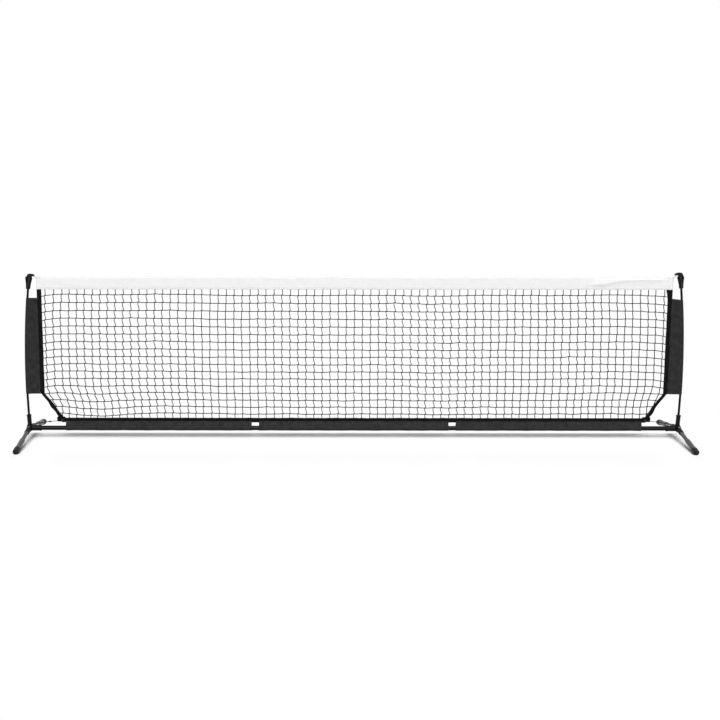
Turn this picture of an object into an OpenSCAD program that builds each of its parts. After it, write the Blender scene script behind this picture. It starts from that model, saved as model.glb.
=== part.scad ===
// Portable pickleball net.
// A steel base bar in three sections joins two hubs. Each hub carries a front and a back leg
// that fold in beside the bar, and a flexible post that bows under the net's pull.
// X runs along the net, -Y is the front, +Z is up and the floor is Z = 0.
// One side is drawn on +X and the other is its mirror image.

/* [Net] */
// Height of the tape's top edge above the floor
net_top = 914.4; // [860:0.2:960]
// Height of the mesh's lower edge above the floor
net_bottom = 118; // [114:1:150]
// Distance from the mesh's side to where the posts bow out most
net_side_gap = 95; // [85:1:110]
// Height at which the lower corners start to slant
corner_height = 258; // [220:1:400]
// How far the lower corners slant in
corner_slant = 96; // [80:1:110]
// Gaps across the mesh
net_gaps_wide = 36; // [12:1:36]
// Gaps up the mesh
net_gaps_high = 8; // [4:1:8]
// Thickness of the mesh twine
twine_d = 3; // [2:0.5:4]

/* [Tape and bindings] */
// Height of the white tape
tape_h = 70; // [50:1:80]
// Width of the black webbing that edges the mesh
binding_w = 23; // [18:1:25]
// Width of the narrower webbing on the slanting corners
corner_binding_w = 15; // [12:1:18]
// Thickness of that webbing, folded over the mesh
binding_t = 5; // [4:0.5:7]
// Thickness of one layer of fabric
fabric_t = 1.5; // [1:0.1:2]
// Diameter of the white cord inside the tape
head_cord_d = 6; // [4:0.5:8]
// Play of a cord or rod inside its fabric hem
hem_play = 0.35; // [0.3:0.05:0.8]

/* [Sleeves] */
// Height of the side sleeve's upper edge
side_sleeve_top = 796; // [600:1:820]
// How far the bottom sleeves end short of the mesh's lower corners
bottom_sleeve_inset = 20; // [10:1:50]
// Distance of each bare stretch's middle from the bar joint it leaves open
sleeve_gap_shift = 10; // [0:1:14]
// Length of each bare stretch
sleeve_gap = 41; // [34:1:60]

/* [Posts] */
// Half the distance between the posts where they bow out most
frame_half_span = 1825; // [1815:1:1840]
// Radius of the bowed posts
post_bow_radius = 5000; // [4500:50:7000]
// Height at which the posts bow out most
post_bow_height = 350; // [320:5:420]
// Diameter of a post
post_d = 12.7; // [10:0.1:14]
// Play of a post in its socket
post_play = 0.25; // [0.2:0.05:0.5]
// Length of the pocket that holds a post's tip
pocket_len = 66; // [50:1:80]
// Wall of that pocket at its mouth
pocket_wall = 5; // [4:0.5:7]
// How much thicker the pocket is at its top
pocket_flare = 5; // [2:0.5:8]
// Reach of the pocket's flap towards the tape
flap_reach = 31; // [28:1:34]

/* [Base bar] */
// Height of the bar's centre above the floor
bar_z = 62; // [56:1:66]
// Outside diameter of the bar
bar_d = 25.4; // [22:0.1:27]
// Wall of the steel tubes
tube_wall = 1.2; // [1:0.1:1.6]
// Distance of each bar joint from the middle
bar_joint_x = 542; // [380:1:690]
// Length of the spigot inside each bar joint
spigot_len = 120; // [100:1:160]
// Play between tubes that slide into each other
slip_play = 0.1; // [0.05:0.01:0.2]

/* [Hubs] */
// Reach of a hub's bar socket from the post
bar_socket_reach = 64; // [60:1:80]
// Wall of the bar socket
bar_socket_wall = 2.7; // [2:0.1:4]
// Height of a hub's post socket above the bar's centre
post_socket_rise = 76; // [60:1:90]
// Wall of the post socket
post_socket_wall = 5.4; // [4:0.1:6.5]
// Radius of a hub's round core
hub_core_r = 19; // [17:0.5:20]
// Distance of a leg's hinge pin from the bar's centre line
pivot_y = 35; // [34:1:45]
// Thickness of each clevis ear
ear_t = 4; // [3:0.5:6]

/* [Legs] */
// Length of a leg from its pin to the end of its straight foot
leg_len = 338; // [300:1:400]
// Diameter of a leg tube
leg_d = 22.2; // [19:0.1:24]
// Radius of a leg's hinge eye
eye_r = 12; // [10:0.5:13]
// Height of the hinge eye
eye_h = 18; // [14:0.5:20]
// Radius of a hinge pin
pin_r = 4; // [3:0.25:5]
// Running clearance between a pin and its bore
pin_play = 0.05; // [0.02:0.01:0.1]
// Length of the knuckle's socket on a leg tube
knuckle_socket = 42; // [30:1:60]
// Wall of that socket
knuckle_wall = 2.9; // [2:0.1:3.5]
// Distance of the rubber sleeve's upper end from the pin
boot_start = 172; // [120:1:220]
// Wall of the rubber sleeve
boot_wall = 2.9; // [1.5:0.1:4]
// Length of the straight part of a foot cap
cap_len = 34; // [24:1:50]
// Wall of a foot cap
cap_wall = 4.9; // [4:0.1:6]
// Depth of the flat worn on a cap where it meets the floor
foot_flat = 0.8; // [0.4:0.1:1.5]

/* [Spring buttons] */
// Radius of a spring button
button_r = 3.75; // [3:0.25:4.5]
// How far a button stands out of its tube
button_proud = 3; // [2:0.25:4]
// Distance of a bar joint's button from the joint
joint_button_x = 18; // [14:1:22]
// Distance of a hub's button from the post
hub_button_x = 45; // [40:1:50]
// Width of the bent leaf spring under a button
leaf_w = 6; // [4:0.5:8]
// Thickness of that leaf spring
leaf_t = 0.8; // [0.5:0.1:1.2]

/* [Corner cords] */
// Diameter of the cord that pulls each lower corner to its hub
corner_cord_d = 3; // [2:0.5:4]
// Distance of the crimp from the post
crimp_x = 114; // [100:1:125]
// Length of the crimp
crimp_len = 14; // [10:1:18]
// Width of the sewn patch on each lower corner
patch_w = 46; // [36:1:50]
// Height of that patch
patch_h = 28; // [26:1:34]

/* [Hidden] */
SIDES = ["left", "right"];
ENDS = ["front", "back"];
SIDE_PARTS = [
    "hub", "base_tube", "bar_spigot", "joint_button", "joint_button_spring",
    "hub_button", "hub_button_spring", "post", "tip_pocket", "hinge_pins",
    "side_binding", "side_sleeve", "corner_binding", "corner_patch", "corner_grommet",
    "bottom_sleeve", "corner_cord", "cord_crimp"
];
LEG_PARTS = ["leg_knuckle", "leg_tube", "leg_boot", "foot_cap"];

round_fn = 48;
bow_fn = 1440;
eps = 0.01;
$fn = round_fn;

black = "#1d1e20";
black_cloth = "#2b2c2e";
black_rubber = "#242526";
grey_steel = "#8d9092";
white_cloth = "#f2f2f2";

// Radii that several pieces share
bar_r = bar_d / 2;
post_r = post_d / 2;
leg_r = leg_d / 2;
twine_r = twine_d / 2;
head_cord_r = head_cord_d / 2;
corner_cord_r = corner_cord_d / 2;
bar_bore_r = bar_r - tube_wall;
spigot_r = bar_bore_r - slip_play;
spigot_bore_r = spigot_r - tube_wall;
bar_socket_r = bar_r + slip_play + bar_socket_wall;
post_socket_r = post_r + post_play + post_socket_wall;
leg_socket_r = leg_r + slip_play + knuckle_wall;
cap_r = leg_r + slip_play + cap_wall;
web_t = 2 * fabric_t;

// A cord is a little fuller at a bend, and its next length starts a little past the bend
bend_fuller = 0.15;
bend_lead = 0.5;

// Net outline
net_half_width = frame_half_span - net_side_gap;
corner_half_width = net_half_width - corner_slant;
mesh_top = net_top - tape_h;
tape_half = net_half_width + binding_w;
head_cord_z = net_top - head_cord_r - hem_play - fabric_t;
bottom_sleeve_half = corner_half_width - bottom_sleeve_inset;
sleeve_gap_x = bar_joint_x + sleeve_gap_shift;

// Centre line of a post: an arc that bows outwards
function post_x(z) =
    frame_half_span - post_bow_radius + sqrt(pow(post_bow_radius, 2) - pow(z - post_bow_height, 2));
function post_lean(z) = asin((post_bow_height - z) / post_bow_radius);
post_foot_z = bar_z + bar_r / 2 + 1.5;
post_tip_z = net_top - 3;
hub_x = post_x(bar_z);
bar_end_x = hub_x - hub_core_r;

// Hinge clevis, from the hinge's mid height
ear_low = eye_h / 2 + 0.3;
ear_high = ear_low + ear_t;
pin_head_r = pin_r + 2.5;
pin_head_h = 2.5;

// A leg slopes so that its foot cap reaches just past the floor, where it is cut flat
leg_drop = bar_z + foot_flat;
leg_slope = asin(leg_drop / sqrt(pow(leg_len, 2) + pow(cap_r, 2))) - atan(cap_r / leg_len);
knuckle_start = eye_r + 2;
cap_start = leg_len - cap_len;
cap_round = cap_r / 2;

// Spring buttons
flange_r = button_r + 1.25;
flange_h = 1;
bore_play = 0.08;
spring_gap = 0.05;
joint_button_travel = bar_r + button_proud - bar_bore_r + 0.2;
hub_button_travel = bar_socket_r + button_proud - bar_r + 0.2;

// Corner cords: a loop round the post socket, a crimp, and a tail to the corner's grommet
loop_z = bar_z + bar_socket_r + corner_cord_r + 0.3;
loop_x = post_x(loop_z);
loop_r = post_socket_r + corner_cord_r + 0.3;
patch_t = fabric_t;
patch_front = -binding_t / 2 - patch_t;
grommet_r = 4.2;
grommet_bore_r = corner_cord_r + 0.6;
flange_t = 1;
knot_r = grommet_r;

// ---- Helpers ----

// A +X piece, mirrored to -X for the left side
module on_side(side) {
    mirror([side == "left" ? 1 : 0, 0, 0])
        children();
}

// A front piece, mirrored in Y for the back
module at_end(end) {
    mirror([0, end == "back" ? 1 : 0, 0])
        children();
}

// Sweep a profile along the post's arc; its x runs away from the net
module along_post(z_low, z_high) {
    a_low = asin((z_low - post_bow_height) / post_bow_radius);
    a_high = asin((z_high - post_bow_height) / post_bow_radius);
    translate([frame_half_span - post_bow_radius, 0, post_bow_height])
        rotate([90, 0, 0])
            rotate([0, 0, a_low])
                rotate_extrude(angle = a_high - a_low, $fn = bow_fn)
                    translate([post_bow_radius, 0])
                        children();
}

// Sweep a profile along X at height z; its x runs to the back and its y up
module along_bar(x_low, x_high, z) {
    translate([x_low, 0, z])
        rotate([90, 0, 90])
            linear_extrude(x_high - x_low)
                children();
}

// Stand pieces at a height on the post's centre line, along the post
module at_post(z) {
    translate([post_x(z), 0, z])
        rotate([0, post_lean(z), 0])
            children();
}

// A flat piece in the net's plane, drawn by its x and z
module in_net_plane(thickness) {
    rotate([90, 0, 0])
        linear_extrude(thickness, center = true)
            children();
}

// A leg's own line: +Z runs from its hinge pin down to its foot
module along_leg() {
    translate([hub_x, -pivot_y, bar_z])
        rotate([90 + leg_slope, 0, 0])
            children();
}

module ring(r_out, r_in) {
    difference() {
        circle(r_out);
        circle(r_in);
    }
}

module pipe(r_out, r_in, h) {
    difference() {
        cylinder(r = r_out, h = h);
        translate([0, 0, -eps])
            cylinder(r = r_in, h = h + 2 * eps);
    }
}

// A round rod between two points
module rod(from, to, r) {
    v = to - from;
    translate(from)
        rotate([0, acos(v.z / norm(v)), atan2(v.y, v.x)])
            cylinder(r = r, h = norm(v));
}

// The next straight length of a cord: a bend a little fuller than the cord, and then the
// length, which starts far enough past the bend's middle not to run into the one before
module cord_length(from, to, r) {
    v = to - from;
    translate(from)
        rotate([0, acos(v.z / norm(v)), atan2(v.y, v.x)])
            sphere(r + bend_fuller);
    rod(from + bend_lead * unit(v), to, r);
}

// Fabric folded round a rod and closed into a doubled web
module hem_profile(rod_r, web_len) {
    difference() {
        union() {
            circle(rod_r + hem_play + fabric_t);
            translate([-web_t / 2, 0])
                square([web_t, web_len]);
        }
        circle(rod_r + hem_play);
    }
}

// ---- Mesh, tape and bindings ----

function unit(v) = v / norm(v);
function outward(p, q) = let (d = unit(q - p)) [-d.y, d.x];

// The mesh's right half from its top corner down to its lower edge
mesh_side = [
    [net_half_width, mesh_top],
    [net_half_width, corner_height],
    [corner_half_width, net_bottom],
    [0, net_bottom]
];

// Where two edges of the mesh's outline meet once the one above corner i has moved out by w1
// and the one below it by w2
function mitre(i, w1, w2) =
    let (
        n1 = outward(mesh_side[i], mesh_side[i - 1]),
        n2 = outward(mesh_side[i + 1], mesh_side[i]),
        c = n1 * n2
    )
    mesh_side[i] - ((w1 - c * w2) * n1 + (w2 - c * w1) * n2) / (1 - c * c);
side_mitre = mitre(1, binding_w, corner_binding_w);
bottom_mitre = mitre(2, corner_binding_w, binding_w);
function mirrored(points) = [for (i = [len(points) - 1:-1:0]) [-points[i].x, points[i].y]];
function mesh_outline(inset) =
    let (
        half = [
            [net_half_width - inset, mesh_top - inset],
            mitre(1, -inset, -inset),
            mitre(2, -inset, -inset)
        ]
    )
    concat(half, mirrored(half));

module net() {
    pitch_x = 2 * net_half_width / net_gaps_wide;
    pitch_z = (mesh_top - net_bottom) / net_gaps_high;
    color(black_cloth)
        in_net_plane(twine_d)
            difference() {
                polygon(mesh_outline(0));
                intersection() {
                    polygon(mesh_outline(twine_d));
                    for (i = [0:net_gaps_wide - 1], j = [0:net_gaps_high - 1])
                        translate([
                            -net_half_width + i * pitch_x + twine_r,
                            net_bottom + j * pitch_z + twine_r
                        ])
                            square([pitch_x - twine_d, pitch_z - twine_d]);
                }
            }
}

module tape() {
    color(white_cloth)
        along_bar(-tape_half, tape_half, head_cord_z)
            mirror([0, 1])
                hem_profile(head_cord_r, head_cord_z - mesh_top);
}

module side_binding() {
    color(black_cloth)
        in_net_plane(binding_t)
            polygon([
                mesh_side[0],
                [tape_half, mesh_top],
                side_mitre,
                mesh_side[1]
            ]);
}

module corner_binding() {
    color(black_cloth)
        difference() {
            in_net_plane(binding_t)
                polygon([
                    mesh_side[1],
                    side_mitre,
                    bottom_mitre,
                    mesh_side[2]
                ]);
            grommet_hole();
        }
}

module bottom_binding() {
    color(black_cloth)
        difference() {
            in_net_plane(binding_t)
                polygon([
                    mesh_side[2],
                    bottom_mitre,
                    [-bottom_mitre.x, bottom_mitre.y],
                    [-mesh_side[2].x, mesh_side[2].y]
                ]);
            for (side = SIDES)
                on_side(side)
                    grommet_hole();
        }
}

// The grommet sits in the middle of the lower corner's mitre
grommet_at = (mesh_side[2] + bottom_mitre) / 2;

module grommet_hole() {
    translate([grommet_at.x, 0, grommet_at.y])
        rotate([90, 0, 0])
            cylinder(r = grommet_r + eps, h = 4 * binding_t, center = true);
}

module corner_patch() {
    color(black_cloth)
        difference() {
            translate([grommet_at.x - patch_w / 2 + 4, patch_front, grommet_at.y - patch_h / 2 + 7])
                cube([patch_w, patch_t, patch_h]);
            grommet_hole();
        }
}

module corner_grommet() {
    translate([grommet_at.x, 0, grommet_at.y])
        rotate([-90, 0, 0])
            color(grey_steel)
                difference() {
                    union() {
                        translate([0, 0, patch_front])
                            cylinder(r = grommet_r, h = binding_t + patch_t);
                        translate([0, 0, patch_front - flange_t])
                            cylinder(r = grommet_r + 2.5, h = flange_t);
                        translate([0, 0, binding_t / 2])
                            cylinder(r = grommet_r + 2.5, h = flange_t);
                    }
                    cylinder(r = grommet_bore_r, h = 6 * binding_t, center = true);
                }
}

// ---- Sleeves on the posts and on the bar ----

module side_sleeve() {
    color(black_cloth)
        difference() {
            along_post(corner_height, side_sleeve_top)
                rotate([0, 0, 90])
                    hem_profile(post_r, 2 * binding_w + frame_half_span - tape_half);
            translate([0, -2 * post_d, 0])
                cube([tape_half, 4 * post_d, net_top]);
        }
}

module bottom_sleeve(x_low, x_high) {
    color(black_cloth)
        along_bar(x_low, x_high, bar_z)
            hem_profile(bar_r, net_bottom - binding_w - bar_z);
}

module bottom_sleeve_side() {
    bottom_sleeve(sleeve_gap_x + sleeve_gap / 2, bottom_sleeve_half);
}

// ---- Posts and what holds their tips ----

module post() {
    color(black)
        along_post(post_foot_z, post_tip_z)
            circle(post_r);
}

pocket_z = net_top - pocket_len - 2;
pocket_top_r = post_r + pocket_wall + pocket_flare;
flap_h = 11;
flap_w = 24;
flap_top = pocket_len + 19;

// A point of the pocket's own frame, as a point of the net's frame
function at_pocket(x, z) =
    let (lean = post_lean(pocket_z))
    [
        post_x(pocket_z) + x * cos(lean) + z * sin(lean),
        0,
        pocket_z - x * sin(lean) + z * cos(lean)
    ];
head_cord_bend = [tape_half + 2, 0, head_cord_z];
head_cord_end = at_pocket(-flap_reach + 9, flap_top - 0.8 * flap_h);

module tip_pocket() {
    mouth_r = post_r + pocket_wall;
    color(black_cloth)
        difference() {
            at_post(pocket_z) {
                rotate_extrude()
                    polygon([
                        [0, 0],
                        [mouth_r, 0],
                        [mouth_r + 0.3 * pocket_flare, pocket_len / 2],
                        [pocket_top_r, pocket_len - 4],
                        [pocket_top_r - 3, pocket_len],
                        [0, pocket_len + 4]
                    ]);
                tip_flap();
            }
            along_post(pocket_z - pocket_wall, post_tip_z + hem_play)
                circle(post_r + hem_play);
            rod(head_cord_bend, head_cord_end, head_cord_r + hem_play);
        }
}

// The flap folds over the tip and droops towards the tape
module tip_flap() {
    rotate([90, 0, 0])
        linear_extrude(flap_w, center = true)
            polygon([
                [10, pocket_len - 2],
                [10, flap_top - 7],
                [3, flap_top - 1],
                [-8, flap_top],
                [-flap_reach + 8, flap_top - 2],
                [-flap_reach, flap_top - 7],
                [-flap_reach, flap_top - flap_h - 4],
                [-flap_reach + 10, flap_top - flap_h - 1],
                [-11, pocket_len - 2]
            ]);
}

module head_cord() {
    color(white_cloth) {
        rod([-head_cord_bend.x, 0, head_cord_z], head_cord_bend, head_cord_r);
        for (side = SIDES)
            on_side(side)
                cord_length(head_cord_bend, head_cord_end, head_cord_r);
    }
}

// ---- Base bar ----

// A tube along X with a hole for a spring button in its upper wall
module bar_tube(x_low, x_high, r_out, r_in, button_holes) {
    difference() {
        along_bar(x_low, x_high, bar_z)
            ring(r_out, r_in);
        for (x = button_holes)
            translate([x, 0, bar_z])
                cylinder(r = button_r + bore_play, h = 2 * r_out);
    }
}

joint_button_at = bar_joint_x + joint_button_x;
hub_button_at = hub_x - hub_button_x;

module base_tube_middle() {
    color(black)
        bar_tube(-bar_joint_x, bar_joint_x, bar_r, bar_bore_r, []);
}

module base_tube() {
    color(black)
        bar_tube(bar_joint_x, bar_end_x, bar_r, bar_bore_r, [joint_button_at, hub_button_at]);
}

module bar_spigot() {
    low = bar_joint_x - spigot_len / 2;
    color(grey_steel)
        bar_tube(low, low + spigot_len, spigot_r, spigot_bore_r, [joint_button_at]);
}

// ---- Spring buttons ----

// A flange inside a tube of this bore, clear of its wall
function flange_z(bore_r) = sqrt(pow(bore_r, 2) - pow(flange_r, 2)) - 0.3 - flange_h;

module button(bore_r, shell_r) {
    round_r = 1.2;
    height = shell_r + button_proud - flange_z(bore_r);
    color(grey_steel)
        translate([0, 0, bar_z + flange_z(bore_r)]) {
            cylinder(r = flange_r, h = flange_h);
            rotate_extrude() {
                square([button_r, height - round_r]);
                square([button_r - round_r, height]);
                translate([button_r - round_r, height - round_r])
                    circle(round_r);
            }
        }
}

// A strip bent into a V: its lower leaf lies on the bore and its upper leaf lifts the button
module button_spring(bore_r) {
    top = flange_z(bore_r) - spring_gap;
    low = -sqrt(pow(bore_r, 2) - pow(leaf_w / 2, 2)) + 0.1;
    bend_x = -34;
    color(grey_steel)
        translate([0, 0, bar_z])
            rotate([90, 0, 0])
                linear_extrude(leaf_w, center = true)
                    polygon([
                        [8, low],
                        [bend_x + 3, low],
                        [bend_x, low + 2.4],
                        [-flange_r, top],
                        [flange_r, top],
                        [flange_r, top - leaf_t],
                        [-flange_r + 0.4, top - leaf_t],
                        [bend_x + leaf_t + 0.6, low + 2.2],
                        [bend_x + 3.3, low + leaf_t],
                        [8, low + leaf_t]
                    ]);
}

module joint_button() {
    translate([joint_button_at, 0, 0])
        button(spigot_bore_r, bar_r);
}

module joint_button_spring() {
    translate([joint_button_at, 0, 0])
        button_spring(spigot_bore_r);
}

module hub_button() {
    translate([hub_button_at, 0, 0])
        button(bar_bore_r, bar_socket_r);
}

module hub_button_spring() {
    translate([hub_button_at, 0, 0])
        button_spring(bar_bore_r);
}

// ---- Hubs ----

post_socket_mid = bar_z + post_socket_rise / 2;

module hub() {
    color(black)
        difference() {
            union() {
                hub_core();
                bar_socket_shell();
                post_socket_shell();
                for (end = ENDS)
                    at_end(end)
                        clevis_ears();
            }
            hub_bores();
        }
}

module hub_core() {
    translate([hub_x, 0, bar_z - ear_high])
        cylinder(r = hub_core_r, h = 2 * ear_high);
}

module bar_socket_shell() {
    mouth = 7;
    along_bar(hub_x - bar_socket_reach, hub_x, bar_z)
        circle(bar_socket_r);
    along_bar(hub_x - bar_socket_reach, hub_x - bar_socket_reach + mouth, bar_z)
        circle(bar_socket_r + 1);
}

module post_socket_shell() {
    lip = 6;
    at_post(post_socket_mid) {
        translate([0, 0, -post_socket_rise / 2])
            cylinder(r = post_socket_r, h = post_socket_rise);
        translate([0, 0, post_socket_rise / 2 - lip])
            cylinder(r = post_socket_r + 1.5, h = lip);
    }
}

module clevis_ears() {
    for (z = [-ear_high, ear_low])
        translate([hub_x, 0, bar_z + z])
            linear_extrude(ear_t) {
                translate([-eye_r, -pivot_y])
                    square([2 * eye_r, pivot_y]);
                translate([0, -pivot_y])
                    circle(eye_r);
            }
}

module hub_bores() {
    along_bar(hub_x - 2 * bar_socket_reach, bar_end_x + slip_play, bar_z)
        circle(bar_r + slip_play);
    translate([hub_button_at, 0, bar_z])
        cylinder(r = button_r + bore_play, h = 2 * bar_socket_r);
    at_post(post_socket_mid)
        translate([0, 0, post_foot_z - post_socket_mid - post_play])
            cylinder(r = post_r + post_play, h = post_socket_rise);
    for (y = [-pivot_y, pivot_y])
        translate([hub_x, y, bar_z])
            cylinder(r = pin_r + pin_play, h = 4 * eye_h, center = true);
}

// A rivet through each clevis, with a head on both ears
module hinge_pins() {
    color(grey_steel)
        for (y = [-pivot_y, pivot_y])
            translate([hub_x, y, bar_z]) {
                cylinder(r = pin_r, h = 2 * ear_high, center = true);
                for (z = [-ear_high - pin_head_h, ear_high])
                    translate([0, 0, z])
                        cylinder(r = pin_head_r, h = pin_head_h);
            }
}

// ---- Legs ----

module leg_knuckle() {
    neck_w = 1.7 * eye_r;
    color(black)
        difference() {
            union() {
                translate([hub_x, -pivot_y, bar_z - eye_h / 2])
                    cylinder(r = eye_r, h = eye_h);
                translate([hub_x - neck_w / 2, -pivot_y - knuckle_start - 4, bar_z - eye_h / 2])
                    cube([neck_w, knuckle_start + 4, eye_h]);
                along_leg()
                    translate([0, 0, knuckle_start])
                        cylinder(r = leg_socket_r, h = knuckle_socket);
            }
            along_leg()
                translate([0, 0, knuckle_start + 5])
                    cylinder(r = leg_r + slip_play, h = knuckle_socket);
            translate([hub_x, -pivot_y, bar_z])
                cylinder(r = pin_r + pin_play, h = 4 * eye_h, center = true);
        }
}

module leg_tube() {
    color(black)
        along_leg()
            translate([0, 0, knuckle_start + 5])
                pipe(leg_r, leg_r - tube_wall, leg_len - knuckle_start - 5 - eps);
}

module leg_boot() {
    chamfer = 1.5;
    boot_r = leg_r + slip_play + boot_wall;
    color(black_rubber)
        along_leg()
            rotate_extrude()
                polygon([
                    [leg_r + slip_play, boot_start],
                    [boot_r - chamfer, boot_start],
                    [boot_r, boot_start + chamfer],
                    [boot_r, cap_start],
                    [leg_r + slip_play, cap_start]
                ]);
}

module foot_cap() {
    bead = 4;
    bead_proud = 0.8;
    color(black_rubber)
        difference() {
            along_leg()
                difference() {
                    rotate_extrude()
                        polygon(concat(
                            [
                                [0, cap_start],
                                [cap_r + bead_proud, cap_start],
                                [cap_r + bead_proud, cap_start + bead],
                                [cap_r, cap_start + bead]
                            ],
                            [
                                for (a = [0:15:90])
                                    [cap_r - cap_round * (1 - cos(a)), leg_len + cap_round * sin(a)]
                            ],
                            [[0, leg_len + cap_round]]
                        ));
                    translate([0, 0, -eps])
                        cylinder(r = leg_r + slip_play, h = leg_len + eps);
                }
            translate([hub_x - 50, -pivot_y - 2 * leg_len, -50])
                cube([100, 2 * leg_len, 50]);
        }
}

// ---- Corner cords ----

cord_front = [grommet_at.x, patch_front - flange_t - corner_cord_r - 0.6, grommet_at.y];
crimp_at = [hub_x - crimp_x, cord_front.y + 2, loop_z + 0.18 * crimp_x];
tail_dir = unit(cord_front - crimp_at);
crimp_start = crimp_at - tail_dir * crimp_len / 2;
crimp_end = crimp_at + tail_dir * crimp_len / 2;
crimp_r = corner_cord_d + 1;
strand_gap = 0.5;
tail_gap = 0.02;

module corner_cord() {
    knot = [grommet_at.x, binding_t / 2 + flange_t + knot_r, grommet_at.y];
    lead_angle = bend_lead / loop_r * 180 / PI;
    color(black) {
        translate([loop_x, 0, loop_z])
            rotate([0, 0, lead_angle - 90])
                rotate_extrude(angle = 180 - 2 * lead_angle)
                    translate([loop_r, 0])
                        circle(corner_cord_r);
        for (y = [-1, 1])
            cord_length(
                [loop_x, y * loop_r, loop_z],
                crimp_start - strand_gap * tail_dir + [0, y * (corner_cord_r + 0.2), 0],
                corner_cord_r
            );
        rod(crimp_end + tail_gap * tail_dir, cord_front, corner_cord_r);
        cord_length(cord_front, knot, corner_cord_r);
        translate(knot)
            sphere(knot_r);
    }
}

module cord_crimp() {
    color(black)
        rod(crimp_start, crimp_end, crimp_r);
}

// ---- Nodes ----

base_tube_middle();
head_cord();
tape();
net();
bottom_binding();
bottom_sleeve(-sleeve_gap_x + sleeve_gap / 2, sleeve_gap_x - sleeve_gap / 2);  // bottom_sleeve_middle

for (side = SIDES)
    on_side(side) {
        hub();
        base_tube();
        bar_spigot();
        joint_button();
        joint_button_spring();
        hub_button();
        hub_button_spring();
        post();
        tip_pocket();
        hinge_pins();
        side_binding();
        side_sleeve();
        corner_binding();
        corner_patch();
        corner_grommet();
        bottom_sleeve_side();
        corner_cord();
        cord_crimp();
        for (end = ENDS)
            at_end(end) {
                leg_knuckle();
                leg_tube();
                leg_boot();
                foot_cap();
            }
    }
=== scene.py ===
"""Looks of a portable pickleball net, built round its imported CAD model.

X runs along the net, -Y is the front and +Z is up, in metres. The rigid parts are the CAD's
own nodes with better materials. The mesh, the fabric and the cords are modelled here.
"""

import math

import bmesh
import bpy
import numpy as np
from mathutils import Euler, Matrix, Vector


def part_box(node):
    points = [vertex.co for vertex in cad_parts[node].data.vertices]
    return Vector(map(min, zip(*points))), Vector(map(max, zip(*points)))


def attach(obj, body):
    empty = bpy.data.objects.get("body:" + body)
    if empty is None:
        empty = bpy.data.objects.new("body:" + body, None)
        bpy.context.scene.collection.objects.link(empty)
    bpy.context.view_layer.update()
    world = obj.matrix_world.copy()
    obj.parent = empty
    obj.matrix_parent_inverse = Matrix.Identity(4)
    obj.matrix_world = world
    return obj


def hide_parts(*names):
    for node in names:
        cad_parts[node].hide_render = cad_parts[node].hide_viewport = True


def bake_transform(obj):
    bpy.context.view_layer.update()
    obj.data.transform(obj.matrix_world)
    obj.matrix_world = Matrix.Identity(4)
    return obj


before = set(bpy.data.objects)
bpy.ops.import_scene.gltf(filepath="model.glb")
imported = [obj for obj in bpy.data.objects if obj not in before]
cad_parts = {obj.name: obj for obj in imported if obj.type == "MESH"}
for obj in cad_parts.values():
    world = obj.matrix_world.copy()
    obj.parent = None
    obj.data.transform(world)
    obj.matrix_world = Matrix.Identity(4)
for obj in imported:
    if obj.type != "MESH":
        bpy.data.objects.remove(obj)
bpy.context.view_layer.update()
rng = np.random.default_rng(12)

SIDES = {"left": -1, "right": 1}

# ---- Sizes that the CAD model has, read from its nodes or repeated from its source ----

TAPE_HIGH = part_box("tape")[1]
NET_LOW, NET_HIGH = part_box("net")
BINDING_LOW, BINDING_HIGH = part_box("side_binding_right")

TAPE_HALF = TAPE_HIGH.x
TAPE_TOP = TAPE_HIGH.z
MESH_HALF = NET_HIGH.x
MESH_TOP = NET_HIGH.z
MESH_BOTTOM = NET_LOW.z
BINDING_W = BINDING_HIGH.x - BINDING_LOW.x
BINDING_Y = BINDING_HIGH.y
HEAD_CORD_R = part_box("head_cord")[1].y
HEAD_CORD_Z = TAPE_TOP - 0.00485
CORNER_BINDING_W = 0.015
CORNER_TOP = 0.258
CORNER_SLANT = 0.096
SLEEVE_TOP = 0.796

POST_SPAN = 1.825
POST_BOW = 5.0
POST_BOW_Z = 0.35
POST_R = 0.00635
BAR_Z = 0.062
BAR_R = 0.0127


def post_x(z):
    """Distance of a post's centre line from the middle, at a height."""
    return POST_SPAN - POST_BOW + math.sqrt(POST_BOW**2 - (z - POST_BOW_Z) ** 2)


def post_lean(z):
    """Angle by which a post leans outwards there."""
    return math.asin((POST_BOW_Z - z) / POST_BOW)


def smooth(t):
    """0 below 0, 1 above 1, and a soft step between them."""
    t = np.clip(t, 0.0, 1.0)
    return t * t * (3 - 2 * t)


def ripple(x, waves, seed):
    """A soft wandering line: a sum of sines with wave lengths from waves, within about -1 to 1."""
    draw = np.random.default_rng(seed)
    x = np.asarray(x, float)
    total = np.zeros_like(x)
    for wave in waves:
        total += np.sin(2 * np.pi * (x / wave + draw.random()))
    return total / math.sqrt(len(waves)) / 1.4


def walked(points):
    """How far along a line of points each of them lies."""
    return np.concatenate([[0], np.cumsum(np.linalg.norm(np.diff(points, axis=0), axis=1))])


def stacked(*parts):
    """Arrays, or single numbers, side by side along a new last axis, such as points from x, y and z."""
    return np.stack(np.broadcast_arrays(*parts), axis=-1)


def softened(path, times):
    """The path with its bends rounded, between ends that stay."""
    path = np.array(path)
    for _ in range(times):
        path[1:-1] = (path[:-2] + 2 * path[1:-1] + path[2:]) / 4
    return path


def closed_rings(rings):
    """Rings of points, each with its first point once more at its end."""
    rings = np.array(rings)
    return np.concatenate([rings, rings[:, :1]], axis=1)


# ---- Mesh building ----


def add_object(name, data):
    """A new object in the scene."""
    made = bpy.data.objects.new(name, data)
    bpy.context.scene.collection.objects.link(made)
    return made


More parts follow.
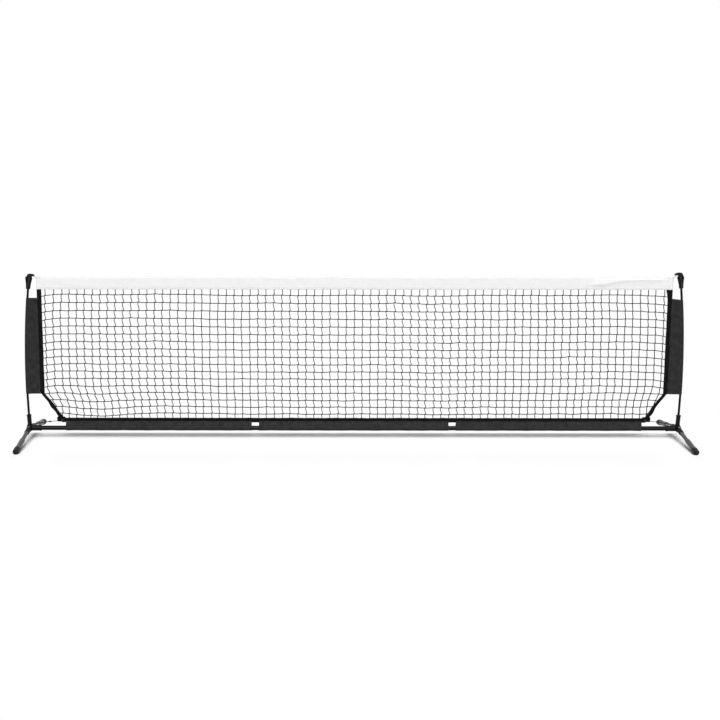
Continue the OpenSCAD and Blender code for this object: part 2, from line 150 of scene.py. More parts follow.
class Shape:
    """Collects the vertices, faces and cloth coordinates of one mesh."""

    def __init__(self):
        self.vertices, self.faces, self.uvs = [], [], []
        self.count = 0

    def add(self, vertices, faces, uvs):
        self.vertices.append(np.asarray(vertices, float).reshape(-1, 3))
        self.uvs.append(np.asarray(uvs, float).reshape(-1, 2))
        for block in faces:
            self.faces.extend((np.asarray(block, int) + self.count).tolist())
        self.count += len(self.vertices[-1])

    def grid(self, points, u, v):
        """A sheet through rows of points. Its cloth coordinates u and v are spread over the grid."""
        rows, columns = points.shape[:2]
        index = np.arange(rows * columns).reshape(rows, columns)
        above, below = index[:-1], index[1:]
        quads = stacked(above[:, :-1], above[:, 1:], below[:, 1:], below[:, :-1])
        self.add(points, [quads.reshape(-1, 4)], stacked(u, v))

    def tube(self, path, radius, sides=8):
        """A round tube with closed ends along a path."""
        path = np.asarray(path, float)
        tangents = np.gradient(path, axis=0)
        tangents /= np.linalg.norm(tangents, axis=1)[:, None]
        normal = np.array([0.0, 1.0, 0.0])
        if abs(tangents[0] @ normal) > 0.9:
            normal = np.array([0.0, 0.0, 1.0])
        turn = np.linspace(0, 2 * np.pi, sides, endpoint=False)
        rings = []
        for point, tangent in zip(path, tangents):
            normal = normal - (normal @ tangent) * tangent
            normal /= np.linalg.norm(normal)
            across = np.cross(tangent, normal)
            round_it = np.outer(np.cos(turn), normal) + np.outer(np.sin(turn), across)
            rings.append(point + radius * round_it)
        index = np.arange(len(path) * sides).reshape(len(path), sides)
        beside = np.roll(index, -1, axis=1)
        quads = stacked(index[:-1], beside[:-1], beside[1:], index[1:]).reshape(-1, 4)
        blocks = [quads, index[:1, ::-1], index[-1:]]
        self.add(np.concatenate(rings), blocks, stacked(turn / (2 * np.pi), walked(path)[:, None]))

    def copies(self, vertices, faces, places, turns):
        """Copies of a small mesh at many places, each turned in the net's plane by its angle."""
        for place, turn in zip(places, turns):
            c, s = math.cos(turn), math.sin(turn)
            turned = vertices @ np.array([[c, 0, s], [0, 1, 0], [-s, 0, c]])
            self.add(turned + place, [faces], np.zeros((len(vertices), 2)))

    def make(self, name, material, slot="", replaces=(), thickness=0.0, weld=False, rides=True):
        """The mesh as a piece with its material, on the frame unless told otherwise. The slot argument is
        not used.
        """
        mesh = bpy.data.meshes.new(name)
        vertices = np.concatenate(self.vertices)
        mesh.from_pydata(vertices.tolist(), [], self.faces)
        corner = np.empty(len(mesh.loops), int)
        mesh.loops.foreach_get("vertex_index", corner)
        layer = mesh.uv_layers.new(name="Cloth")
        layer.data.foreach_set("uv", np.concatenate(self.uvs)[corner].ravel())
        mesh.shade_smooth()
        piece = add_object(name, mesh)
        mesh.materials.append(MATERIALS[material])
        if weld:
            piece.modifiers.new("Weld", "WELD").merge_threshold = 1e-6
        if thickness:
            solid = piece.modifiers.new("Thickness", "SOLIDIFY")
            solid.thickness = thickness
            solid.offset = 0.0
        if rides:
            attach(piece, "frame")
        if replaces:
            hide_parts(*replaces)
        return piece


def ball(radii):
    """Vertices and triangles of a small ellipsoid."""
    bm = bmesh.new()
    bmesh.ops.create_icosphere(bm, subdivisions=1, radius=1.0)
    vertices = np.array([v.co for v in bm.verts]) * np.array(radii)
    faces = [[v.index for v in f.verts] for f in bm.faces]
    bm.free()
    return vertices, faces


STITCH_PITCH = 0.0036
THREAD_R = 0.00025


def along_row(row, marks):
    """The points at some distances along a row of points."""
    along = walked(row)
    return stacked(*(np.interp(marks, along, coordinate) for coordinate in row.T))


def stitch_rows(shape, rows, length=0.0026):
    """Sewing thread: short stitches along each row of points, just proud of the cloth."""
    vertices, faces = ball((length / 2, THREAD_R, THREAD_R))
    half = STITCH_PITCH / 2
    for row in rows:
        row = np.asarray(row, float)
        marks = np.arange(half, walked(row)[-1], STITCH_PITCH)
        way = along_row(row, marks + half) - along_row(row, marks - half)
        shape.copies(vertices, faces, along_row(row, marks), np.arctan2(way[:, 2], way[:, 0]))


def sewn_sheet(cloth, name, material, node, thickness, seams, **facts):
    """A cloth piece in a CAD node's place, with black stitches along its seams."""
    piece = cloth.make(name, material, replaces=[node], thickness=thickness)
    thread = Shape()
    stitch_rows(thread, seams)
    thread_name = name.replace("_cloth_", "_stitches_") if "_cloth_" in name else f"{name}_stitches"
    stitches = thread.make(thread_name, "black_thread", material)


# ---- Materials ----


class Nodes:
    """A node tree, with short calls for what the trees here share."""

    def __init__(self, tree):
        self.tree = tree

    def node(self, kind, **values):
        """A new node, by its type without the word ShaderNode."""
        made = self.tree.nodes.new(f"ShaderNode{kind}")
        for key, value in values.items():
            if key in made.inputs:
                made.inputs[key].default_value = value
            else:
                setattr(made, key, value)
        return made

    def link(self, out, into):
        self.tree.links.new(out, into)

    def math(self, operation, a, b):
        made = self.node("Math", operation=operation)
        for socket, value in zip(made.inputs, (a, b)):
            if isinstance(value, (int, float)):
                socket.default_value = value
            else:
                self.link(value, socket)
        return made.outputs[0]

    def ranged(self, factor, span, to, **values):
        """The factor mapped from one span of numbers to another."""
        made = self.node("MapRange", **values)
        for name, value in zip(("From Min", "From Max", "To Min", "To Max"), (*span, *to)):
            made.inputs[name].default_value = value
        self.link(factor, made.inputs["Value"])
        return made.outputs["Result"]

    def mix(self, factor, first, second):
        """Two shaders' mix."""
        made = self.node("MixShader")
        for out, socket in zip((factor, first.outputs[0], second.outputs[0]), made.inputs):
            self.link(out, socket)
        return made.outputs[0]

    def seen(self):
        """1 for what the camera sees straight, in a reflection or through glass, 0 for other light."""
        rays = self.node("LightPath").outputs
        straight_or_glossy = self.math("MAXIMUM", rays["Is Camera Ray"], rays["Is Glossy Ray"])
        return self.math("MAXIMUM", straight_or_glossy, rays["Is Transmission Ray"])

    def place(self):
        return self.node("TexCoord").outputs["Object"]


MATERIALS = {}
# How far a wave texture of scale 1 turns in a metre, in radians.
WAVE_TURN = 20


class Surface(Nodes):
    """A new material, kept in MATERIALS, and short calls for what its Principled shader takes."""

    def __init__(self, name, gloss=0.5):
        MATERIALS[name] = material = bpy.data.materials.new(name)
        material.use_nodes = True
        super().__init__(material.node_tree)
        self.shader = self.tree.nodes["Principled BSDF"]
        self.set(Specular_IOR_Level=gloss)

    def cloth(self):
        return self.node("UVMap", uv_map="Cloth").outputs["UV"]

    def noise(self, vector, scale, detail=3.0):
        made = self.node("TexNoise", Scale=scale, Detail=detail, Roughness=0.55)
        self.link(vector, made.inputs["Vector"])
        return made.outputs["Fac"]

    def wave(self, vector, pitch, direction, distortion=0.0):
        """A sine wave that repeats every pitch metres."""
        scale = 2 * math.pi / WAVE_TURN / pitch
        made = self.node("TexWave", bands_direction=direction, Scale=scale, Distortion=distortion)
        self.link(vector, made.inputs["Vector"])
        return made.outputs["Fac"]

    def shades(self, factor, dark, light, low=0.3, high=0.7):
        """A colour that runs from dark to light with the factor."""
        ramp = self.node("ValToRGB")
        ramp.color_ramp.elements[0].position = low
        ramp.color_ramp.elements[1].position = high
        ramp.color_ramp.elements[0].color = (*dark, 1)
        ramp.color_ramp.elements[1].color = (*light, 1)
        self.link(factor, ramp.inputs["Fac"])
        self.link(ramp.outputs["Color"], self.shader.inputs["Base Color"])

    def roughness(self, factor, span):
        self.link(self.ranged(factor, (0, 1), span), self.shader.inputs["Roughness"])

    def bump(self, height, depth):
        """Relief of depth metres, laid over any relief that is there already."""
        made = self.node("Bump", Distance=depth, Strength=1.0)
        self.link(height, made.inputs["Height"])
        socket = self.shader.inputs["Normal"]
        if socket.is_linked:
            self.link(socket.links[0].from_socket, made.inputs["Normal"])
        self.link(made.outputs["Normal"], socket)

    def set(self, **values):
        for key, value in values.items():
            self.shader.inputs[key.replace("_", " ")].default_value = value


def grey(level):
    return (level, level, level)


def woven(name, dark, light, pitch, roughness, gloss, relief=0.00025, creases=0.0006):
    """Woven fabric: two crossed threads, a soft mottle of colour and small handling creases."""
    n = Surface(name, gloss)
    cloth = n.cloth()
    weave = n.math("MULTIPLY", n.wave(cloth, pitch, "X"), n.wave(cloth, pitch, "Y"))
    mottle = n.noise(n.place(), 38.0, 5.0)
    n.shades(mottle, grey(dark), grey(light))
    n.roughness(mottle, roughness)
    n.bump(weave, relief)
    n.bump(n.noise(n.place(), 60.0, 2.0), creases)


def webbing(name, dark, light, gloss):
    """Flat woven tape: ribs across it and a finer thread along it."""
    n = Surface(name, gloss)
    cloth = n.cloth()
    rib = n.wave(cloth, 0.0011, "Y", 0.6)
    thread = n.wave(cloth, 0.0007, "X", 0.4)
    n.shades(n.noise(n.place(), 90.0, 4.0), grey(dark), grey(light))
    n.bump(n.math("ADD", rib, thread), 0.00035)
    n.set(Roughness=0.75)


def gathered(name, dark, light, roughness, gloss):
    """Gathered nylon: creases that run along it, with painted highlights: thin lighter lines of colour
    along the creases, where light would catch them.
    """
    n = Surface(name, gloss)
    stretch = n.node("Mapping")
    stretch.inputs["Scale"].default_value = (1.0, 0.05, 1.0)
    n.link(n.cloth(), stretch.inputs["Vector"])
    creases_and_painted_highlights = n.noise(stretch.outputs["Vector"], 130.0, 2.0)
    # Painted highlights: the colour runs from near black to grey along the crease pattern, which also sets
    # the roughness and the relief.
    n.shades(creases_and_painted_highlights, grey(dark), grey(light), 0.45, 0.7)
    n.roughness(creases_and_painted_highlights, roughness)
    n.bump(n.wave(n.cloth(), 0.0008, "Y"), 0.0001)
    n.bump(creases_and_painted_highlights, 0.0012)


def braided(name, dark, light, pitch, gloss=0.15):
    """Cord: strands that wind both ways round it."""
    n = Surface(name, gloss)
    parts = n.node("SeparateXYZ")
    n.link(n.cloth(), parts.inputs[0])
    round_it = n.math("MULTIPLY", parts.outputs["X"], 2 * math.pi * 3)
    along = n.math("MULTIPLY", parts.outputs["Y"], 2 * math.pi / pitch)
    one_way = n.math("SINE", n.math("ADD", round_it, along), 0.0)
    other = n.math("SINE", n.math("SUBTRACT", round_it, along), 0.0)
    strands = n.math("MAXIMUM", one_way, other)
    n.shades(n.noise(n.place(), 160.0, 4.0), grey(dark), grey(light))
    n.bump(strands, 0.0003)
    n.set(Roughness=0.75)


def painted(name, dark, light, roughness, gloss):
    """Powder-coated steel: a fine orange-peel skin and rubbed patches."""
    n = Surface(name, gloss)
    place = n.place()
    n.shades(n.noise(place, 45.0, 5.0), grey(dark), grey(light))
    n.roughness(n.noise(place, 130.0), roughness)
    n.bump(n.noise(place, 900.0, 2.0), 0.00006)


def moulded(name, dark, light, roughness, gloss, grain=700.0, depth=0.0001):
    """Moulded plastic or rubber with a fine spark-eroded grain."""
    n = Surface(name, gloss)
    place = n.place()
    n.shades(n.noise(place, 55.0, 4.0), grey(dark), grey(light))
    n.roughness(n.noise(place, 90.0), roughness)
    n.bump(n.noise(place, grain, 2.0), depth)


def bare_metal(name, colour):
    """Plated steel with fine drawn scratches."""
    n = Surface(name)
    place = n.place()
    n.shades(n.noise(place, 80.0, 5.0), tuple(0.8 * c for c in colour), colour)
    n.roughness(n.noise(place, 300.0, 4.0), (0.25, 0.4))
    n.bump(n.noise(place, 1200.0, 2.0), 0.00003)
    n.set(Metallic=1.0)


woven("white_tape", 0.84, 0.885, 0.0010, (0.5, 0.62), 0.4, 0.0001, 0.00012)
braided("white_cord", 0.62, 0.74, 0.007, 0.4)
braided("net_twine", 0.002, 0.006, 0.006, 0.05)
woven("black_nylon", 0.011, 0.029, 0.0009, (0.65, 0.85), 0.15)
gathered("gathered_nylon", 0.001, 0.05, (0.45, 0.6), 0.07)
webbing("black_webbing", 0.003, 0.009, 0.06)
braided("black_cord", 0.003, 0.008, 0.005, 0.06)
braided("black_thread", 0.02, 0.03, 0.002)
braided("white_thread", 0.6, 0.7, 0.002, 0.4)
braided("grey_thread", 0.3, 0.4, 0.002, 0.4)
painted("black_steel", 0.002, 0.006, (0.22, 0.34), 0.1)
painted("leg_steel", 0.05, 0.085, (0.3, 0.45), 0.5)
moulded("black_fibreglass", 0.002, 0.006, (0.3, 0.45), 0.07, 300.0)
moulded("hub_plastic", 0.002, 0.007, (0.35, 0.5), 0.1)
moulded("boot_rubber", 0.06, 0.1, (0.4, 0.55), 0.5, 500.0, 0.00015)
moulded("cap_rubber", 0.006, 0.014, (0.45, 0.6), 0.15, 500.0, 0.00015)
moulded("crimp_plastic", 0.003, 0.008, (0.4, 0.55), 0.1)
bare_metal("zinc_steel", (0.55, 0.56, 0.57))
bare_metal("blacked_steel", (0.05, 0.05, 0.05))
bare_metal("spring_steel", (0.45, 0.45, 0.46))

# ---- The CAD's own parts ----

NODE_MATERIALS = {
    "base_tube": "black_steel",
    "bar_spigot": "zinc_steel",
    "joint_button": "zinc_steel",
    "hub_button": "zinc_steel",
    "hub": "hub_plastic",
    "hinge_pins": "zinc_steel",
    "post": "black_fibreglass",
    "leg_knuckle": "hub_plastic",
    "leg_tube": "leg_steel",
    "leg_boot": "boot_rubber",
    "foot_cap": "cap_rubber",
    "corner_grommet": "blacked_steel",
    "cord_crimp": "crimp_plastic",
}


def finish_cad_nodes():
    """Gives each CAD node that stays its material, and smooth faces between sharp edges."""
    for name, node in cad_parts.items():
        part = name
        for tail in ("_left", "_right", "_front", "_back", "_middle"):
            part = part.replace(tail, "")
        if part in NODE_MATERIALS:
            node.data.materials.clear()
            node.data.materials.append(MATERIALS[NODE_MATERIALS[part]])
            node.data.shade_smooth()
            edges = node.modifiers.new("Edges", "EDGE_SPLIT")
            edges.split_angle = math.radians(32)


# ---- Leaf springs ----

LEAF_T = 0.0008
LEAF_W = 0.006
LEAF_TAIL = 0.008
LEAF_BEND_R = 0.0014
BUTTON_FLANGE_R = 0.005


def leaf_line(bend_x, middle_x, foot_z, head_z):
    """Middle line of the bent strip, as x and z: the lower leaf, the bend, the slope and the head."""
    turn = np.linspace(-np.pi / 2, -1.35 * np.pi, 9)
    bend = np.array([bend_x, foot_z]) + LEAF_BEND_R * stacked(1 + np.cos(turn), 1 + np.sin(turn))
    head_x = np.linspace(middle_x - BUTTON_FLANGE_R + LEAF_T, middle_x + BUTTON_FLANGE_R, 6)
    slope_end = (middle_x - BUTTON_FLANGE_R - LEAF_T / 4, head_z)
    tail = np.linspace((middle_x + LEAF_TAIL, foot_z), bend[0], 12, endpoint=False)
    slope = np.linspace(bend[-1], slope_end, 25)[1:-1]
    return np.concatenate([tail, bend, slope, stacked(head_x, head_z)])


def make_leaf_spring(kind, name, side):
    """The V of spring strip under a button, in place of the CAD's spring: a lower leaf, a bend and an
    upper leaf under the button's flange.
    """
    button = f"{kind}_button_{name}"
    node = f"{kind}_button_spring_{name}"
    low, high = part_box(node)
    button_low, button_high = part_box(button)
    middle_x = side * (button_low.x + button_high.x) / 2
    bend_x = middle_x - (high.x - low.x) + LEAF_TAIL + LEAF_T / 2
    foot_z = low.z + LEAF_T / 2
    head_z = high.z - LEAF_T / 2
    line = leaf_line(bend_x, middle_x, foot_z, head_z)
    across = np.linspace(-0.5, 0.5, 5) * LEAF_W
    x, y = np.meshgrid(side * line[:, 0], across)
    strip = Shape()
    strip.grid(stacked(x, y, line[:, 1]), x, y)
    piece = f"{kind}_leaf_spring_{name}"
    leaf = strip.make(piece, "spring_steel", replaces=[node], thickness=LEAF_T, rides=False)
    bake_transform(leaf)


# ---- Mesh net ----

COLUMNS = 79
COLUMN_PITCH = 0.0447
COLUMN_CROWDING = 5.3e-7
ROWS = 17
ROW_PITCH = 0.045
ROW_CROWDING = 0.0002
FIRST_ROW_Z = 0.811
TWINE_R = 0.0024
KNOT_RADII = (0.0045, 0.0036, 0.0041)
# How far each lower corner is drawn towards the middle, and where that is felt.
PULL = {-1: 0.044, 1: 0.03}
PULL_TOP = 0.315
PULL_H = 0.13
PULL_REACH = 0.42
# The rows droop beside the bindings, rise towards the ends and hang loose near the left end.
END_DROOP = 0.012
END_REACH = 0.05
END_RISE = 0.005
SLUMP = 0.016
SLUMP_X = -1.47
SLUMP_TOP = 0.36


def edge_x(z):
    """Half width of the mesh at a height: its lower corners slant in."""
    low = np.clip((CORNER_TOP - np.asarray(z, float)) / (CORNER_TOP - MESH_BOTTOM), 0, 1)
    return MESH_HALF - CORNER_SLANT * low


def lower_edge_z(x):
    """Height of the mesh's lower edge, which slants up at both ends."""
    outside = np.clip((np.abs(x) - MESH_HALF + CORNER_SLANT) / CORNER_SLANT, 0, 1)
    return MESH_BOTTOM + (CORNER_TOP - MESH_BOTTOM) * outside


def pull(x, z):
    """The places of mesh at x once its lower corners are drawn towards the middle."""
    inset = MESH_HALF - np.abs(x)
    wide = np.where(x < 0, PULL[-1], PULL[1]) * smooth((PULL_TOP - z) / PULL_H)
    near = MESH_HALF - edge_x(z) - wide
    shift = wide * np.exp(-inset / PULL_REACH) + near * np.exp(-inset / 0.02)
    return x - np.sign(x) * shift


def net_knots():
    """Places of the mesh's knots, and of its rows' ends in the bindings: arrays of x and z."""
    count = np.arange(COLUMNS) - (COLUMNS - 1) / 2
    columns = COLUMN_PITCH * count - COLUMN_CROWDING * count**3
    columns = np.concatenate([[-MESH_HALF], columns, [MESH_HALF]])
    number = np.arange(ROWS)
    rows = FIRST_ROW_Z - ROW_PITCH * number + ROW_CROWDING * number**2
    x, z = np.meshgrid(columns, rows)
    inset = MESH_HALF - np.abs(x)
    droop = END_DROOP * np.exp(-inset / END_REACH) * np.clip((z - 0.2) / 0.1, -0.4, 1)
    rise = END_RISE * (np.abs(x) / MESH_HALF) ** 2
    slump = SLUMP * np.exp(-(((x - SLUMP_X) / 0.17) ** 2)) * smooth((SLUMP_TOP - z) / 0.2)
    slump -= 0.004 * np.exp(-(((x + 0.99) / 0.35) ** 2))
    wander = np.stack([ripple(columns, (0.9, 0.37, 0.14), 20 + j) for j in range(ROWS)])
    lean = np.stack([ripple(rows, (0.6, 0.25), 60 + i) for i in range(COLUMNS + 2)], axis=1)
    common = 0.002 * ripple(columns, (1.4, 0.6), 8)
    z = z - droop + rise - slump + common + 0.0016 * wander + rng.normal(0, 0.0009, x.shape)
    loose = np.clip(inset / END_REACH, 0, 1)
    x = x * (1 - 0.0052 * loose * smooth((z - 0.66) / 0.14))
    x = pull(x, z) + loose * (0.0015 * lean + rng.normal(0, 0.0008, x.shape))
    return x, z


def row_path(knots):
    """One level twine from knot to knot, with a little sag between them."""
    path = []
    for a, b in zip(knots, knots[1:]):
        sag = 0.0007 + 0.0006 * rng.random()
        for t in (0.0, 0.3, 0.6):
            path.append(a + (b - a) * t - (0, 0, 4 * sag * t * (1 - t)))
    return [*path, knots[-1]]


def column_path(knots, slacks):
    """One upright twine, from the tape's hem to the lower edge, which zigzags at its knots."""
    top, bottom = knots[0], knots[-1]
    path = [np.array([top[0] + slacks[0] * 0.5, 0, MESH_TOP + 0.004])]
    for j, (knot, s) in enumerate(zip(knots, slacks)):
        path += [knot + (s, 0, 0.0022), knot - (s, 0, 0.0022)]
        if j < len(knots) - 1:
            span = knots[j + 1] - knot
            path += [knot + span * 0.35 - (0.8 * s, 0, 0), knot + span * 0.7 + (0.35 * s, 0, 0)]
    return [*path, np.array([bottom[0], 0, lower_edge_z(bottom[0]) - 0.003])]


def make_net():
    x, z = net_knots()
    slack = 0.0026 + 0.0018 * ripple(x + 0.3 * z, (1.9, 0.8), 4)
    depth = 0.0012 * ripple(x - 0.7 * z, (1.3, 0.5), 9)
    knots = stacked(x, depth, z)
    inside = np.abs(x) < edge_x(z) - 0.002
    twine = Shape()
    for row in knots:
        twine.tube(row_path(row), TWINE_R, sides=6)
    for i in range(1, COLUMNS + 1):
        below = np.where(inside[:, i])[0]
        twine.tube(column_path(knots[below, i], slack[below, i]), TWINE_R, sides=6)
    twine.make("net_twine", "net_twine", replaces=["net"])

    balls = Shape()
    vertices, faces = ball(KNOT_RADII)
    balls.copies(vertices, faces, knots[inside], rng.uniform(-0.6, 0.6, inside.sum()))
    balls.make("net_knots", "net_twine")


# ---- White tape and its cord ----

TAPE_T = 0.0007
TAPE_FACE_Y = 0.0012
HEM_H = 0.014
HEM_SPREAD = 0.0020
TAPE_STATIONS = 760


def tape_section():
    """The tape's section: up its back, round the head cord and down its front, as y and z."""
    top_y = TAPE_FACE_Y + HEM_SPREAD
    seam_z = MESH_TOP + HEM_H
    leaves, _ = teardrop(HEAD_CORD_Z - seam_z, HEAD_CORD_R + 0.0014, top_y, 16, 15)
    hem_z = np.linspace(MESH_TOP, seam_z, 9)[:-1]
    hem_y = TAPE_FACE_Y + HEM_SPREAD * (hem_z - MESH_TOP) / HEM_H
    back = stacked(hem_y, hem_z)
    round_cord = stacked(leaves[:, 1], HEAD_CORD_Z + leaves[:, 0])
    return softened(np.concatenate([back, round_cord, back[::-1] * (-1, 1)]), 2)


def fold(x, z, line, width, height):
    """A crease in the tape's face along a line of (x, z) points: round above it, sharp below it."""
    xs, zs = np.array(sorted(line)).T
    share = (x - xs[0]) / (xs[-1] - xs[0])
    fade = smooth(4 * share) * smooth(8 * (1 - share))
    above = (z - np.interp(x, xs, zs)) / width
    fade = fade * smooth((z - MESH_TOP - HEM_H) / 0.01)
    return height * np.exp(-np.where(above > 0, (above / 2.5) ** 2, -above)) * fade


def tape_folds(x, z):
    """The creases that the pull of the head cord draws from the tape's two top corners."""
    long_line = [(1.73, 0.909), (1.516, 0.897), (1.442, 0.889), (1.369, 0.875), (1.25, 0.863)]
    folds = fold(x, z, long_line, 0.012, 0.0040)
    folds += fold(x, z, [(1.69, 0.9), (1.6, 0.88), (1.5, 0.87)], 0.006, 0.0006)
    folds += fold(x, z, [(-1.735, 0.907), (-1.585, 0.873), (-1.45, 0.853)], 0.008, 0.0008)
    folds += fold(x, z, [(-1.5, 0.862), (-1.25, 0.858), (-0.95, 0.861)], 0.006, 0.0004)
    return folds


def tape_points(section, stations):
    """The tape's section along its length, with its waves, its folds and its puckered, raised hems."""
    x, y, z = np.broadcast_arrays(stations, section[:, :1], section[:, 1:])
    face = np.sign(y) * smooth((HEAD_CORD_Z - 0.004 - z) / 0.004)
    up = (z - MESH_TOP) / (TAPE_TOP - MESH_TOP)
    waves = 0.0006 * ripple(x + 0.25 * z, (0.47, 0.19, 0.085), 31) * np.sin(np.pi * up)
    pucker = 0.00022 * ripple(x, (0.021, 0.013, 0.034), 32)
    pucker = pucker * np.exp(-(((z - MESH_TOP - HEM_H) / 0.006) ** 2))
    hem = 0.0006 * smooth((MESH_TOP + HEM_H - z) / 0.002)
    end_hem = 0.0009 * smooth((np.abs(x) - TAPE_HALF + BINDING_W) / 0.002)
    return stacked(x, y + face * (waves + pucker + tape_folds(x, z) + hem + end_hem), z)


def bar_tack(shape, x, y, z):
    """A dense block of zigzag stitches, which locks the end of a seam."""
    for step in range(7):
        offset = 0.0011 * (step - 3)
        stitch_rows(shape, [[(x + offset, y, z - 0.0034), (x + offset, y, z + 0.0034)]], length=0.0036)


def sew_tape():
    """Stitches along the tape's hems on both faces, and the bar tacks at its ends."""
    thread, tacks = Shape(), Shape()
    rows = []
    for way in (-1, 1):
        y_low, y_high = way * (TAPE_FACE_Y + 0.0012), way * (TAPE_FACE_Y + HEM_SPREAD + 0.0011)
        for height, y_face in ((0.0035, y_low), (HEM_H - 0.0025, y_high)):
            stations = np.linspace(-TAPE_HALF, TAPE_HALF, 60)
            rows.append([(x, y_face, MESH_TOP + height) for x in stations])
        for side in (-1, 1):
            for inset in (0.004, BINDING_W - 0.003):
                end_x = side * (TAPE_HALF - inset)
                y_top = way * (HEAD_CORD_R + 0.0012)
                rows.append([(end_x, y_high, MESH_TOP + 0.016), (end_x, y_top, HEAD_CORD_Z - 0.008)])
                bar_tack(tacks, end_x, way * (HEAD_CORD_R + 0.0028), HEAD_CORD_Z - 0.002)
    stitch_rows(thread, rows)
    stitches = thread.make("tape_stitches", "white_thread", "white_tape")
    bar_tacks = tacks.make("tape_bar_tacks", "grey_thread", "white_tape")
    return [stitches, bar_tacks]


def make_tape():
    section = tape_section()
    across = walked(section)
    stations = np.linspace(-TAPE_HALF, TAPE_HALF, TAPE_STATIONS + 1)
    cloth = Shape()
    cloth.grid(tape_points(section, stations), stations, across[:, None])
    tape = cloth.make("tape_cloth", "white_tape", replaces=["tape"], thickness=TAPE_T)
    sew_tape()


POCKET_LEN = 0.066
POCKET_FOOT_Z = TAPE_TOP - POCKET_LEN - 0.002
FLAP_TOP = POCKET_LEN + 0.019
FLAP_H = 0.011
FLAP_REACH = 0.031
POCKET_RISE = {-1: 0.0, 1: 0.007}


def from_pocket(side, x, y, z):
    """Points of the tip pocket's own frame, which leans with the post, in the net's frame."""
    lean = post_lean(POCKET_FOOT_Z)
    z = z + POCKET_RISE[side]
    along_x = post_x(POCKET_FOOT_Z) + x * math.cos(lean) + z * math.sin(lean)
    up = POCKET_FOOT_Z - x * math.sin(lean) + z * math.cos(lean)
    return stacked(side * along_x, y, up)


def make_head_cord():
    """The white cord runs inside the tape and comes out at both ends to the tip pockets."""
    path = []
    for side in (-1, 1):
        end = from_pocket(side, -FLAP_REACH + 0.009, 0.0, FLAP_TOP - 0.8 * FLAP_H)
        bend = np.array([side * (TAPE_HALF + 0.002), 0, HEAD_CORD_Z])
        leg = [end + (bend - end) * t for t in (0.0, 0.3, 0.6, 0.85)]
        inner = bend - (side * 0.008, 0, 0)
        leg += [0.25 * leg[-1] + 0.5 * bend + 0.25 * inner, inner]
        path.append(leg)
    middle = [np.array([x, 0, HEAD_CORD_Z]) for x in np.linspace(-TAPE_HALF + 0.03, TAPE_HALF - 0.03, 60)]
    cord = Shape()
    cord.tube(path[0] + middle + path[1][::-1], HEAD_CORD_R - 0.0003, sides=14)
    cord.make("head_cord_rope", "white_cord", replaces=["head_cord"])


# ---- Black bindings ----

WEBBING_T = 0.001
BINDING_LAP = 0.002
SIDE_FLARE = {"left": 0.0, "right": 0.009}
CORNER_FLARE = {"left": 0.009, "right": 0.004}
CORNER_BULGE = {"left": (0.5, 0.006), "right": (0.32, 0.007)}
CORNER_BOW = {"left": 0.007, "right": 0.006}


def fold_points(inner, outer, half):
    """A webbing folded over an edge: from its inner line in front, round the outer line, to the back."""
    front = [(0.0, 1.0), (0.15, 1.0), (0.35, 1.0), (0.6, 1.0), (0.85, 1.0), (0.95, 0.8), (1.0, 0.35)]
    across = [(t, -w) for t, w in front] + front[::-1]
    rows = []
    for t, w in across:
        line = inner + (outer - inner) * t
        rows.append(stacked(line[:, 0], w * half, line[:, 1]))
    return np.array(rows)


def make_binding(node, inner, outer, seed, bulge=(0.5, 0.0), flare=0.0, bow=0.0):
    """One binding between the ends of its inner and outer edge, as x and z, with two rows of stitches.

    bulge is where along it a crumple spreads its outer edge, and by how much. flare spreads its
    inner edge at its first end. bow is how far the mesh draws its middle in.
    """
    inner, outer = np.array(inner, float), np.array(outer, float)
    length = np.linalg.norm(inner[1] - inner[0])
    stations = np.linspace(0, 1, max(8, int(length / 0.008)) + 1)[:, None]
    inner_line = inner[0] + (inner[1] - inner[0]) * stations
    outer_line = outer[0] + (outer[1] - outer[0]) * stations
    out = outer_line - inner_line
    out /= np.linalg.norm(out, axis=1)[:, None]
    wander = 0.0009 * ripple(stations * length, (0.31, 0.12, 0.05), seed) - bow
    wander = wander * np.sin(np.pi * stations)
    swell = bulge[1] * np.exp(-(((stations - bulge[0]) * length / 0.022) ** 2))
    inner_line = inner_line + out * (wander - flare * np.exp(-((stations * length / 0.03) ** 2)))
    outer_line = outer_line + out * (wander + swell)
    points = fold_points(inner_line, outer_line, BINDING_Y - 0.0003)
    wave = 0.0004 * ripple(stations[:, 0] * length, (0.11, 0.043, 0.021), seed)
    points[:, :, 1] += np.sign(points[:, :, 1]) * wave
    walk = walked(points[:, 2 * len(stations) // 3])
    cloth = Shape()
    cloth.grid(points, walk[:, None], stations[:, 0] * length)
    seams = []
    for way in (-1, 1):
        for t in (0.14, 0.84):
            line = inner_line + (outer_line - inner_line) * t
            seams.append(stacked(line[:, 0], way * (BINDING_Y + 0.0004), line[:, 1]))
    name = node.replace("binding", "webbing")
    flat = (float(walk[-1]), float(max(length, np.linalg.norm(outer[1] - outer[0]))))
    facts = {"flat": flat, "held": "folded", "rests_on": ["net_twine"]}
    sewn_sheet(cloth, name, "black_webbing", node, WEBBING_T, seams, **facts)


def inward(start, end):
    """The unit vector square to a side of the outline, towards the mesh."""
    way = (end - start) / np.linalg.norm(end - start)
    return np.array([-way[1], way[0]])


def binding_outline(widths):
    """The mesh's right outline moved out by a width for each of its three sides, as x and z."""
    low_x = MESH_HALF - CORNER_SLANT
    corners = (MESH_HALF, MESH_TOP), (MESH_HALF, CORNER_TOP), (low_x, MESH_BOTTOM), (0, MESH_BOTTOM)
    mesh = np.array(corners)
    outline = [mesh[0] + (widths[0], 0)]
    for i in (1, 2):
        n1, n2 = inward(mesh[i], mesh[i - 1]), inward(mesh[i + 1], mesh[i])
        w1, w2 = widths[i - 1], widths[i]
        c = n1 @ n2
        outline.append(mesh[i] - ((w1 - c * w2) * n1 + (w2 - c * w1) * n2) / (1 - c * c))
    return np.array(outline)


